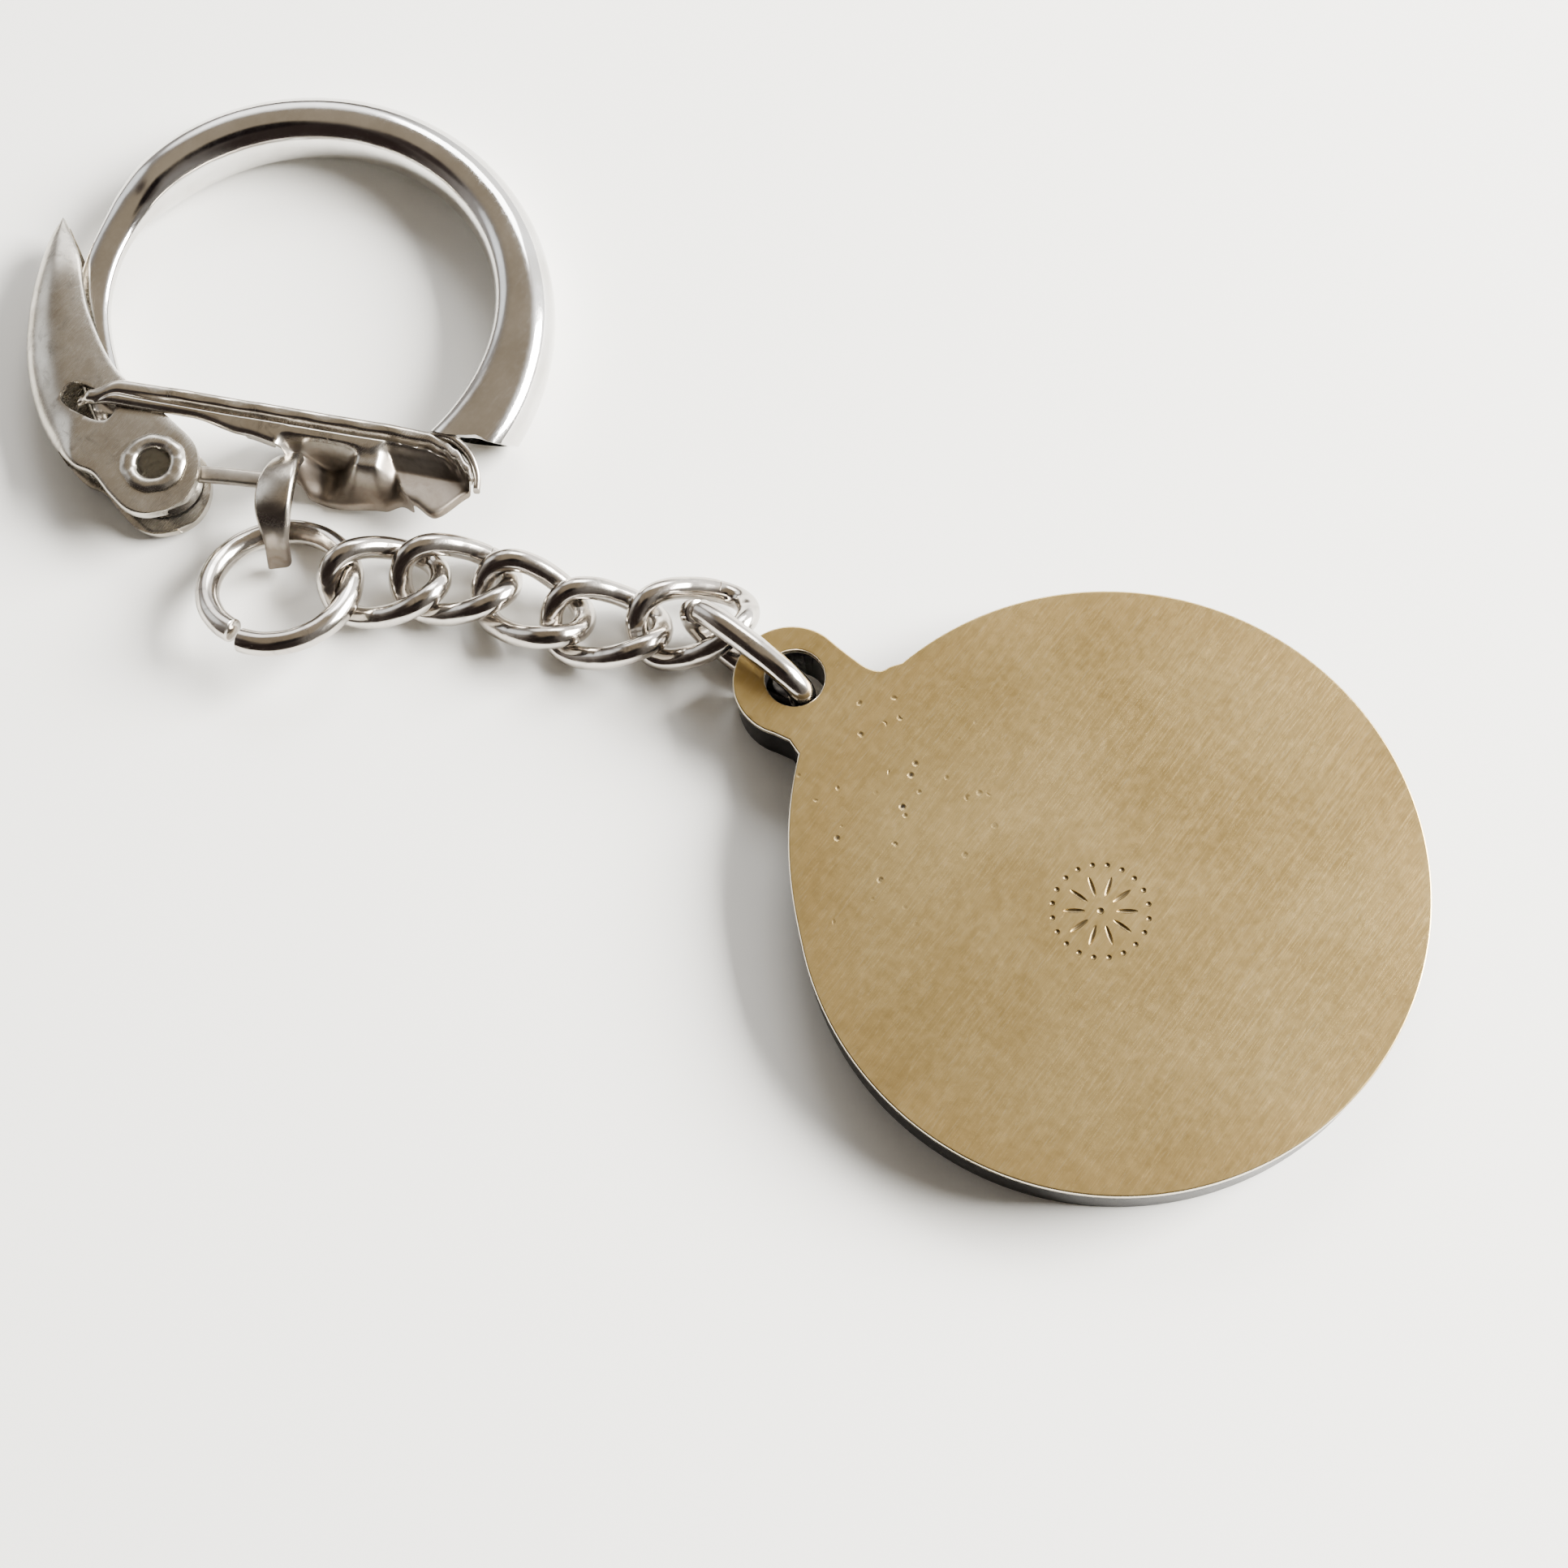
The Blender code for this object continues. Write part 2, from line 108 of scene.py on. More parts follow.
def area_light(name, place, target, size, power, colour):
    data = bpy.data.lights.new(name, "AREA")
    data.shape = "RECTANGLE"
    data.size, data.size_y = size
    data.energy = power
    data.color = colour
    obj = bpy.data.objects.new(name, data)
    bpy.context.collection.objects.link(obj)
    place, target = Vector(place), Vector(target)
    obj.location = place
    obj.rotation_euler = (target - place).to_track_quat("-Z", "Y").to_euler()
    return obj


def world():
    """The room that the metal mirrors: dim walls, a warm ceiling, a bright far side, dark near the viewer."""
    made = bpy.data.worlds.new("studio")
    bpy.context.scene.world = made
    made.use_nodes = True
    nodes, links = made.node_tree.nodes, made.node_tree.links
    direction = nodes.new("ShaderNodeTexCoord").outputs["Generated"]

    def patch(towards, core, fade):
        """1 near this direction and 0 away from it. core and fade are angles in degrees."""
        dot = nodes.new("ShaderNodeVectorMath")
        dot.operation = "DOT_PRODUCT"
        dot.inputs[1].default_value = Vector(towards).normalized()
        links.new(direction, dot.inputs[0])
        near = nodes.new("ShaderNodeMapRange")
        near.interpolation_type = "SMOOTHSTEP"
        near.inputs["From Min"].default_value = math.cos(math.radians(fade))
        near.inputs["From Max"].default_value = math.cos(math.radians(core))
        links.new(dot.outputs["Value"], near.inputs["Value"])
        return near.outputs[0]

    def over(below, factor, colour):
        node = nodes.new("ShaderNodeMix")
        node.data_type = "RGBA"
        links.new(factor, node.inputs["Factor"])
        if isinstance(below, tuple):
            node.inputs["A"].default_value = (*below, 1)
        else:
            links.new(below, node.inputs["A"])
        node.inputs["B"].default_value = (*colour, 1)
        return node.outputs["Result"]

    colour = ROOM_BASE
    for towards, core, fade, tone in ROOM:
        colour = over(colour, patch(towards, core, fade), tone)
    links.new(colour, nodes["Background"].inputs["Color"])
    nodes["Background"].inputs["Strength"].default_value = ROOM_STRENGTH


def floor():
    mesh = bpy.data.meshes.new("floor")
    s = 0.6
    mesh.from_pydata([(-s, -s, 0), (s, -s, 0), (s, s, 0), (-s, s, 0)], [], [(0, 1, 2, 3)])
    obj = bpy.data.objects.new("floor", mesh)
    bpy.context.collection.objects.link(obj)
    obj.location.z = -0.00002
    made = bpy.data.materials.new("floor")
    made.use_nodes = True
    shader = made.node_tree.nodes["Principled BSDF"]
    shader.inputs["Base Color"].default_value = (0.82, 0.81, 0.77, 1)
    shader.inputs["Roughness"].default_value = 0.9
    mesh.materials.append(made)


# ---------------------------------------------------------------- materials

class Look:
    """A small helper that wires procedural nodes into one Principled shader."""

    def __init__(self, name):
        self.material = bpy.data.materials.new(name)
        self.material.use_nodes = True
        self.nodes = self.material.node_tree.nodes
        self.links = self.material.node_tree.links
        self.shader = self.nodes["Principled BSDF"]
        self.coord = self.nodes.new("ShaderNodeTexCoord")
        self.bumps = []

    def mapped(self, scale=(1, 1, 1), turn=(0, 0, 0)):
        mapping = self.nodes.new("ShaderNodeMapping")
        mapping.inputs["Scale"].default_value = scale
        mapping.inputs["Rotation"].default_value = turn
        self.links.new(self.coord.outputs["Object"], mapping.inputs["Vector"])
        return mapping.outputs[0]

    def noise(self, scale, detail=4.0, rough=0.55, vector=None, distort=0.0):
        node = self.nodes.new("ShaderNodeTexNoise")
        node.inputs["Scale"].default_value = scale
        node.inputs["Detail"].default_value = detail
        node.inputs["Roughness"].default_value = rough
        node.inputs["Distortion"].default_value = distort
        self.links.new(vector or self.coord.outputs["Object"], node.inputs["Vector"])
        return node.outputs[0]

    def ramp(self, value, stops):
        node = self.nodes.new("ShaderNodeValToRGB")
        elements = node.color_ramp.elements
        while len(elements) < len(stops):
            elements.new(0.5)
        for element, (place, colour) in zip(elements, stops):
            element.position = place
            grey = isinstance(colour, (int, float))
            element.color = (colour, colour, colour, 1) if grey else (*colour, 1)
        self.links.new(value, node.inputs[0])
        return node.outputs[0]

    def math(self, operation, a, b=0.0, c=0.0):
        node = self.nodes.new("ShaderNodeMath")
        node.operation = operation
        for socket, value in zip(node.inputs, (a, b, c)):
            if isinstance(value, (int, float)):
                socket.default_value = value
            else:
                self.links.new(value, socket)
        return node.outputs[0]

    def mix(self, factor, a, b, blend="MIX"):
        node = self.nodes.new("ShaderNodeMix")
        node.data_type = "RGBA"
        node.blend_type = blend
        for name, value in (("Factor", factor), ("A", a), ("B", b)):
            socket = node.inputs[name]
            if isinstance(value, tuple):
                socket.default_value = (*value, 1)
            elif isinstance(value, (int, float)):
                socket.default_value = value
            else:
                self.links.new(value, socket)
        return node.outputs["Result"]

    def bump(self, height, depth, strength=1.0):
        """Adds relief of this depth in millimetres."""
        node = self.nodes.new("ShaderNodeBump")
        node.inputs["Strength"].default_value = strength
        node.inputs["Distance"].default_value = depth * MM
        self.links.new(height, node.inputs["Height"])
        if self.bumps:
            self.links.new(self.bumps[-1], node.inputs["Normal"])
        self.bumps.append(node.outputs[0])
        self.links.new(node.outputs[0], self.shader.inputs["Normal"])

    def set(self, socket, value):
        if isinstance(value, tuple):
            self.shader.inputs[socket].default_value = (*value, 1)
        elif isinstance(value, (int, float)):
            self.shader.inputs[socket].default_value = value
        else:
            self.links.new(value, self.shader.inputs[socket])

    def scratches(self, turn, density, width=0.018):
        """Fine lines running one way: 1 on a scratch, 0 elsewhere."""
        vector = self.mapped((density, density * 0.035, density), (0, 0, turn))
        lines = self.noise(1.0, 2.0, 0.5, vector, 0.3)
        return self.ramp(lines, ((0.5 - width, 0.0), (0.5, 1.0), (0.5 + width, 0.0)))


def metal(name, colour, worn, rough, rough_range, wave=0.012, grime=0.0, scratch=0.25, shade_heights=None):
    """Plated metal: cloudy wear in colour and gloss, hair scratches, soft dents.

    The last argument is a pair of heights in millimetres: below the first one the metal is rougher and
    painted dark brown, as painted shade, and it keeps its plain colour above the second one."""
    look = Look(name)
    cloud = look.noise(260.0, 5.0, 0.6)
    patches = look.noise(900.0, 3.0, 0.6, distort=0.8)
    tone = look.mix(look.ramp(cloud, ((0.38, 0.0), (0.66, 1.0))), colour, worn)
    if grime:
        dirt = look.ramp(patches, ((0.52, 0.0), (0.70, grime)))
        tone = look.mix(dirt, tone, (0.10, 0.085, 0.07))
    shade_and_dull = 0.0
    if shade_heights:
        split = look.nodes.new("ShaderNodeSeparateXYZ")
        look.links.new(look.coord.outputs["Object"], split.inputs[0])
        low, high = shade_heights
        height = look.math("MULTIPLY_ADD", split.outputs[2], 1000.0 / (high - low), -low / (high - low))
        height = look.math("MULTIPLY_ADD", patches, 0.5, look.math("SUBTRACT", height, 0.25))
        shade_and_dull = look.ramp(height, ((0.0, 1.0), (1.0, 0.0)))
        # Painted shade: below the given heights the colour is mixed towards dark brown.
        tone = look.mix(look.math("MULTIPLY", shade_and_dull, 0.85), tone, (0.10, 0.074, 0.053))
    look.set("Base Color", tone)
    look.set("Metallic", 1.0)
    one = look.scratches(0.5, 9000.0)
    two = look.scratches(2.1, 7000.0)
    lines = look.math("MAXIMUM", one, two)
    gloss = look.math("MULTIPLY_ADD", patches, rough_range, rough - rough_range * 0.5)
    gloss = look.math("MULTIPLY_ADD", lines, scratch * 0.35, gloss)
    if shade_heights:
        gloss = look.math("MULTIPLY_ADD", shade_and_dull, 0.24, gloss)
    look.set("Roughness", gloss)
    look.bump(look.noise(330.0, 2.0, 0.5), wave * 6, 0.5)
    look.bump(look.noise(6500.0, 3.0, 0.6), 0.004, scratch)
    return look.material


def brass_plate():
    """Satin brass sheet with clouding, two directions of hair scratches, pits and a warmer rim."""
    look = Look("brass_plate")
    cloud = look.noise(70.0, 6.0, 0.6, distort=0.4)
    fine = look.noise(1600.0, 4.0, 0.65)
    tone = look.mix(look.ramp(cloud, ((0.35, 0.0), (0.68, 1.0))), (0.355, 0.248, 0.090),
                    (0.388, 0.282, 0.116))
    tone = look.mix(look.ramp(fine, ((0.40, 0.0), (0.75, 0.35))), tone, (0.42, 0.31, 0.15))
    # The colour is warmer in a band along the rim.
    spot = look.nodes.new("ShaderNodeVectorMath")
    spot.operation = "DISTANCE"
    look.links.new(look.coord.outputs["Object"], spot.inputs[0])
    spot.inputs[1].default_value = at(0, 0, 3.8) * MM
    rim = look.ramp(look.math("MULTIPLY", spot.outputs["Value"], 50.0),
                    ((0.70, 0.0), (0.86, 0.55), (0.90, 0.2)))
    tone = look.mix(rim, tone, (0.385, 0.265, 0.102))
    pits = look.nodes.new("ShaderNodeTexVoronoi")
    pits.inputs["Scale"].default_value = 900.0
    pits.inputs["Randomness"].default_value = 1.0
    look.links.new(look.coord.outputs["Object"], pits.inputs["Vector"])
    near = look.nodes.new("ShaderNodeVectorMath")
    near.operation = "DISTANCE"
    look.links.new(look.coord.outputs["Object"], near.inputs[0])
    near.inputs[1].default_value = at(-14.6, -4.2, 3.8) * MM
    zone = look.ramp(look.math("MULTIPLY", near.outputs["Value"], 100.0), ((0.25, 1.0), (0.95, 0.0)))
    chance = look.ramp(look.noise(900.0, 1.0), ((0.49, 0.0), (0.55, 1.0)))
    dot = look.ramp(pits.outputs["Distance"], ((0.10, 1.0), (0.20, 0.0)))
    pit = look.math("MULTIPLY", look.math("MULTIPLY", dot, zone), chance)
    tone = look.mix(pit, tone, (0.05, 0.04, 0.03))
    lines = look.math("MAXIMUM", look.scratches(0.9, 5200.0, 0.012),
                      look.scratches(2.4, 4300.0, 0.010))
    tone = look.mix(look.math("MULTIPLY", lines, 0.14), tone, (0.65, 0.58, 0.42))
    # Dirt lies in the strokes of the struck mark, below the sheet's face at 3.8 mm.
    split = look.nodes.new("ShaderNodeSeparateXYZ")
    look.links.new(look.coord.outputs["Object"], split.inputs[0])
    struck = look.ramp(look.math("MULTIPLY_ADD", split.outputs[2], 10000.0, -37.0),
                       ((0.3, 1.0), (0.85, 0.0)))
    tone = look.mix(look.math("MULTIPLY", struck, 0.8), tone, (0.06, 0.045, 0.028))
    look.set("Base Color", tone)
    look.set("Metallic", 1.0)
    gloss = look.math("MULTIPLY_ADD", cloud, 0.12, 0.24)
    gloss = look.math("MULTIPLY_ADD", fine, 0.10, gloss)
    look.set("Roughness", gloss)
    look.bump(look.noise(55.0, 2.0, 0.5), 0.10, 0.35)
    look.bump(look.noise(5200.0, 3.0, 0.65), 0.004, 0.5)
    look.bump(look.math("SUBTRACT", 1.0, lines), 0.004, 0.35)
    look.bump(look.math("SUBTRACT", 1.0, pit), 0.05, 0.8)
    return look.material


def black_plastic():
    look = Look("black_moulding")
    smear = look.noise(420.0, 4.0, 0.6)
    look.set("Base Color", look.mix(smear, (0.004, 0.004, 0.005), (0.010, 0.009, 0.009)))
    look.set("Roughness", look.math("MULTIPLY_ADD", smear, 0.18, 0.16))
    look.set("IOR", 1.13)
    look.bump(look.noise(240.0, 2.0, 0.5), 0.03, 0.5)
    look.bump(look.noise(7000.0, 2.0, 0.5), 0.002, 0.4)
    return look.material


def enamel():
    """The hidden front: a dark enamelled dial with fine rays."""
    look = Look("front_enamel")
    offset = look.nodes.new("ShaderNodeVectorMath")
    offset.operation = "SUBTRACT"
    look.links.new(look.coord.outputs["Object"], offset.inputs[0])
    offset.inputs[1].default_value = at(0, 0, 0) * MM
    split = look.nodes.new("ShaderNodeSeparateXYZ")
    look.links.new(offset.outputs[0], split.inputs[0])
    angle = look.math("ARCTAN2", split.outputs[1], split.outputs[0])
    rays = look.math("ABSOLUTE", look.math("SINE", look.math("MULTIPLY", angle, 36.0)))
    cloud = look.noise(180.0, 4.0)
    look.set("Base Color", look.mix(rays, (0.020, 0.045, 0.085), (0.05, 0.10, 0.16)))
    look.set("Roughness", look.math("MULTIPLY_ADD", cloud, 0.15, 0.14))
    look.set("Coat Weight", 0.6)
    look.bump(rays, 0.05, 0.6)
    return look.material


# ---------------------------------------------------------------- mesh helpers

def make(name, bm, looks, smooth=38.0, normals=True):
    if normals:
        bmesh.ops.recalc_face_normals(bm, faces=bm.faces)
    bm.transform(Matrix.Scale(MM, 4))
    mesh = bpy.data.meshes.new(name)
    bm.to_mesh(mesh)
    bm.free()
    mesh.shade_smooth()
    mesh.set_sharp_from_angle(angle=math.radians(smooth))
    for look in looks if isinstance(looks, (list, tuple)) else [looks]:
        mesh.materials.append(look)
    obj = bpy.data.objects.new(name, mesh)
    bpy.context.collection.objects.link(obj)
    return obj


def catmull(points, per_span, closed=False):
    points = [np.array(p, float) for p in points]
    count = len(points)
    found = []
    for i in range(count if closed else count - 1):
        if closed:
            a, b, c, d = (points[(i + k) % count] for k in (-1, 0, 1, 2))
        else:
            b, c = points[i], points[i + 1]
            a = points[i - 1] if i else 2 * b - c
            d = points[i + 2] if i + 2 < count else 2 * c - b
        for k in range(per_span):
            t = k / per_span
            found.append(0.5 * (2 * b + (c - a) * t + (2 * a - 5 * b + 4 * c - d) * t * t
                                + (3 * b - a - 3 * c + d) * t ** 3))
    if not closed:
        found.append(points[-1])
    return found


def skin(rings, closed=False, cap=True):
    bm = bmesh.new()
    rows = [[bm.verts.new(tuple(p)) for p in ring] for ring in rings]
    sides = len(rows[0])
    pairs = list(zip(rows, rows[1:])) + ([(rows[-1], rows[0])] if closed else [])
    for first, second in pairs:
        for k in range(sides):
            n = (k + 1) % sides
            bm.faces.new((first[k], first[n], second[n], second[k]))
    if not closed and cap:
        bm.faces.new(rows[0][::-1])
        bm.faces.new(rows[-1])
    return bm


def frames(path, closed):
    """A tangent and a steady normal at each point of a path."""
    count = len(path)
    tangents = []
    for i in range(count):
        a = path[(i - 1) % count] if closed or i else path[i]
        b = path[(i + 1) % count] if closed or i + 1 < count else path[i]
        tangents.append((Vector(b) - Vector(a)).normalized())
    normal = tangents[0].orthogonal().normalized()
    normals = [normal]
    for a, b in zip(tangents, tangents[1:]):
        normal = a.rotation_difference(b) @ normal
        normals.append(normal)
    slip = 0.0
    if closed:
        last = tangents[-1].rotation_difference(tangents[0]) @ normal
        slip = math.atan2(last.cross(normals[0]).dot(tangents[0]), last.dot(normals[0]))
    return tangents, normals, slip


def wire(path, radius, closed=False, sides=28, chamfer=0.10):
    """Round wire with a slightly uneven skin. Open ends are cut flat with a small chamfer."""
    path = [Vector(p) for p in path]
    tangents, normals, slip = frames(path, closed)
    count = len(path)
    phase = RND.uniform(0, 6)
    rings = []
    for i, (point, tangent, normal) in enumerate(zip(path, tangents, normals)):
        side = tangent.cross(normal)
        wobble = 1 + 0.012 * math.sin(i * 0.23 + phase) + 0.008 * math.sin(i * 0.61 + phase * 2)
        ring = []
        for k in range(sides):
            turn = 2 * math.pi * k / sides + slip * i / count
            ring.append(point + radius * wobble * (math.cos(turn) * normal + math.sin(turn) * side))
        rings.append(ring)
    if not closed:
        for end, step in ((0, -1), (-1, 1)):
            centre = path[end]
            tip = [centre + (p - centre) * (1 - chamfer / radius) + tangents[end] * step * chamfer * 0.7
                   for p in rings[end]]
            rings.insert(0, tip) if end == 0 else rings.append(tip)
    return skin(rings, closed)


def pose_points(points, pose):
    x, y, z, yaw, pitch, roll = pose
    turn = (Matrix.Rotation(math.radians(yaw), 3, "Z") @ Matrix.Rotation(math.radians(-pitch), 3, "Y")
            @ Matrix.Rotation(math.radians(roll), 3, "X"))
    return [at(x, y, z) + turn @ Vector(p) for p in points]


def superellipse(a, b, n, t, m=None):
    c, s = math.cos(t), math.sin(t)
    m = m or n
    return (math.copysign(a * abs(c) ** (2 / n), c), math.copysign(b * abs(s) ** (2 / m), s))


def boolean(obj, bm, operation="DIFFERENCE", looks=None):
    """Cuts or joins a helper solid, with the result applied, and removes the helper."""
    tool = make("tool", bm, looks or list(obj.data.materials))
    step = obj.modifiers.new("cut", "BOOLEAN")
    step.operation = operation
    step.object = tool
    step.solver = "EXACT"
    apply_modifiers(obj)
    bpy.data.objects.remove(tool, do_unlink=True)


def apply_modifiers(obj):
    graph = bpy.context.evaluated_depsgraph_get()
    graph.update()
    mesh = bpy.data.meshes.new_from_object(obj.evaluated_get(graph))
    obj.modifiers.clear()
    old = obj.data
    obj.data = mesh
    bpy.data.meshes.remove(old)


def soften(obj, width, segments, angle):
    step = obj.modifiers.new("edge", "BEVEL")
    step.width = width * MM
    step.segments = segments
    step.limit_method = "ANGLE"
    step.angle_limit = math.radians(angle)
    step.use_clamp_overlap = True


def weigh_normals(obj, angle=32.0):
    """Flat faces keep a flat shade beside their rounded edges."""
    obj.data.shade_smooth()
    obj.data.set_sharp_from_angle(angle=math.radians(angle))
    step = obj.modifiers.new("normals", "WEIGHTED_NORMAL")
    step.weight = 100
    step.keep_sharp = True
    apply_modifiers(obj)


def prism(outline, low, high):
    bm = bmesh.new()
    face = bm.faces.new([bm.verts.new((p[0], p[1], low)) for p in outline])
    made = bmesh.ops.extrude_face_region(bm, geom=[face])
    top = [v for v in made["geom"] if isinstance(v, bmesh.types.BMVert)]
    bmesh.ops.translate(bm, verts=top, vec=(0, 0, high - low))
    return bm


def cylinder(centre, radius, low, high, sides=64):
    bm = bmesh.new()
    bmesh.ops.create_cone(bm, cap_ends=True, segments=sides, radius1=radius, radius2=radius,
                          depth=high - low, matrix=Matrix.Translation((*centre, (low + high) / 2)))
    return bm


def lathe(profile, centre, sides=96):
    rings = []
    for k in range(sides):
        t = 2 * math.pi * k / sides
        across, along = math.cos(t), math.sin(t)
        rings.append([Vector((centre[0] + r * across, centre[1] + r * along, z)) for r, z in profile])
    return skin(rings, closed=True)


def finish_piece(obj, body, slot, *nodes):
    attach(obj, body)
    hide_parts(*nodes)
    return obj


# ---------------------------------------------------------------- fob

DISC_RADIUS = 18.0
LUG = (-22.2, -1.0, 3.45)  # centre and radius
HOLE = (-22.1, -0.75)
HOLE_RADIUS = 1.76
PLATE_LOW, PLATE_TOP = 3.26, 3.8
BODY_TOP = 3.24
DIAL_FACE, DIAL_BACK = 0.35, 0.92
RECESS_RADIUS, RECESS_DEPTH = 16.3, 0.95
FAIRING = 1.55  # how far the fairing beside the lug stands out from the disc
MARK = (0.5, -1.8)
MARK_REACH = 3.5


def fob_outline(inset=0.0):
    """The disc, the fairing into the lug on one side, and the lug."""
    points = []

    def on_disc(degrees, share):
        reach = DISC_RADIUS - inset + FAIRING * min(max(share, 0.0), 1.0) ** 1.5
        turn = math.radians(degrees)
        points.append((reach * math.cos(turn), reach * math.sin(turn)))

    for k in range(-152, 169, 2):
        on_disc(k, (-k - 132.0) / 35.0)
    neck = catmull([(-18.0, 3.3), (-18.3, 2.62), (-19.1, 2.3), (-20.2, 2.3), (-21.2, 2.36), (-22.2, 2.45)],
                   4)
    points += [tuple(p) for p in neck[1:-1]]
    for k in range(90, 292, 5):
        turn = math.radians(k)
        reach = LUG[2] - inset
        points.append((LUG[0] + reach * math.cos(turn), LUG[1] + reach * math.sin(turn)))
    points.append((-20.0, -4.05 + inset))
    for k in range(0, 16, 2):
        on_disc(-167.0 + k, 1 - k / 35.0)
    return [at(*p).xy for p in points]


def fob(brass, edge, black, dial, trim):
    hole = at(*HOLE)
    plate = make("back_plate", prism(fob_outline(), PLATE_LOW, PLATE_TOP), [brass, edge])
    boolean(plate, cylinder(hole.xy, HOLE_RADIUS, 2, 5))
    soften(plate, 0.13, 3, 50.0)
    apply_modifiers(plate)
    stamp(plate)
    mark = at(*MARK).xy * MM
    # Faces that do not face up, the plate's sides and bevels, take the paler second metal: a painted edge
    # highlight.
    for face in plate.data.polygons:
        high = face.center.z > (PLATE_TOP - 0.2) * MM
        struck = high and (face.center.xy - mark).length < MARK_REACH * MM
        face.material_index = 0 if face.normal.z > 0.80 or struck else 1
    weigh_normals(plate)
    finish_piece(plate, "fob", "back_plate", "fob_back_plate")

    body = make("moulded_body", prism(fob_outline(0.12), 0.0, BODY_TOP), black)
    boolean(body, cylinder(hole.xy, HOLE_RADIUS + 0.02, -1, 5))
    boolean(body, cylinder(at(0, 0).xy, RECESS_RADIUS, -1, RECESS_DEPTH, 160))
    x, y = HOLE
    channel = [at(*p).xy for p in ((x, y - 1.6), (x, y + 1.6), (x - 5, y + 2), (x - 5, y - 2))]
    boolean(body, prism(channel, -1, 2.0))
    soften(body, 0.16, 3, 40.0)
    apply_modifiers(body)
    weigh_normals(body)
    finish_piece(body, "fob", "body", "fob_body")

    z = DIAL_FACE
    profile = [(0.01, z), (3.0, z + 0.02), (3.2, z + 0.12), (3.5, z + 0.12), (3.7, z + 0.02),
               (10.8, z + 0.05), (11.0, z - 0.06), (11.4, z - 0.06), (11.6, z + 0.05),
               (15.2, z + 0.05), (15.4, z - 0.1), (16.0, z - 0.1), (16.12, z),
               (16.12, DIAL_BACK), (0.01, DIAL_BACK)]
    disc = make("front_dial", lathe(profile, at(0, 0).xy, 128), [dial, trim])
    for face in disc.data.polygons:
        c = face.center / MM
        r = math.hypot(c.x - FOB.x, c.y - FOB.y)
        face.material_index = 1 if r > 15.25 or 10.9 < r < 11.5 or 3.1 < r < 3.6 else 0
    finish_piece(disc, "fob", "front_disc", "fob_front_disc")


def stamp(plate):
    """A plain mark struck into the middle of the back: short strokes round a dot, with a ring of dots."""
    tools = bmesh.new()
    strokes, dots = 10, 20
    centre = at(*MARK, PLATE_TOP + 0.04)
    marks = [(0.0, 0.0, 0.22, 0.22)]
    marks += [(1.50, 2 * math.pi * k / strokes, 0.66, 0.15) for k in range(strokes)]
    marks += [(2.75, 2 * math.pi * (k + 0.5) / dots, 0.17, 0.17) for k in range(dots)]
    for reach, turn, length, width in marks:
        place = centre + Vector((reach * math.cos(turn), reach * math.sin(turn), 0.0))
        shape = (Matrix.Translation(place) @ Matrix.Rotation(turn, 4, "Z")
                 @ Matrix.Diagonal((length, width, 0.13, 1.0)))
        bmesh.ops.create_uvsphere(tools, u_segments=16, v_segments=10, radius=1.0, matrix=shape)
    boolean(plate, tools, "DIFFERENCE", list(plate.data.materials))


# ---------------------------------------------------------------- wire pieces

# Each pose is x, y, z in millimetres, then yaw, pitch and roll in degrees.
CONNECTOR = (-25.5, -1.0, 2.82, -2.0, 0.0, 0.0)
LINKS = (
    (-46.66, -10.01, 1.85, 40.1, -3.8, 8.9),
    (-43.24, -7.34, 1.71, 31.3, -1.9, 5.3),
    (-38.48, -5.82, 1.73, 6.4, 0.0, 1.3),
    (-33.91, -4.26, 1.82, 25.9, 0.9, 1.3),
    (-29.80, -0.94, 1.90, 44.3, 3.2, 2.6),
)
JUMP = (-51.6, -14.05, 2.04, 35.2, -0.1, -16.9)
CONNECTOR_WIRE, LINK_WIRE, JUMP_WIRE = 0.76, 0.705, 0.75  # radii
LINK_LENGTH, LINK_WIDTH, LINK_TWIST = 3.40, 2.16, 0.95  # half length, half width, rise and fall
JUMP_RADIUS = 4.4


def chain(nickel):
    ring = []
    for k in range(120):
        t = math.radians(150.0 + 350.0 * k / 119)
        px, pz = superellipse(4.3, 2.1, 2.4, t)
        ring.append((px, 0.16 * (k / 119 - 0.5), pz))
    obj = make("connector_wire", wire(pose_points(ring, CONNECTOR), CONNECTOR_WIRE), nickel)
    finish_piece(obj, "connector", "connector", "connector_ring")
    for number, pose in enumerate(LINKS, 1):
        loop = []
        for k in range(128):
            t = math.radians(64.0 + 358.6 * k / 127)
            # The quarters that rise are drawn in, the quarters that fall are full.
            px, py = superellipse(LINK_LENGTH, LINK_WIDTH, 2.0 if math.sin(2 * t) < 0 else 2.25, t)
            loop.append((px, py, -LINK_TWIST * math.sin(2 * t)))
        shape = wire(pose_points(loop, pose), LINK_WIRE, chamfer=0.05)
        obj = make(f"curb_link_{number}", shape, nickel)
        finish_piece(obj, f"link_{number}", "chain", f"chain_link_{number}")
    loop = []
    for k in range(150):
        t = math.radians(247.0 + 353.0 * k / 149)
        loop.append((JUMP_RADIUS * math.cos(t), JUMP_RADIUS * math.sin(t), 0.30 * (k / 149 - 0.5) ** 3 * 8))
    shape = wire(pose_points(loop, JUMP), JUMP_WIRE, sides=36, chamfer=0.12)
    obj = make("round_jump_ring", shape, nickel)
    finish_piece(obj, "jump_ring", "jump_ring", "jump_ring")


# ---------------------------------------------------------------- key ring

BOW = (-62.5, -0.05)
MID = 2.15
BOW_WALL = 0.55
BOW_EYE_RADIUS, BAR_EYE_RADIUS = 2.35, 2.3
EYE_BORE, HORN_BORE = 1.75, 1.66  # radii of the holes round the rivet
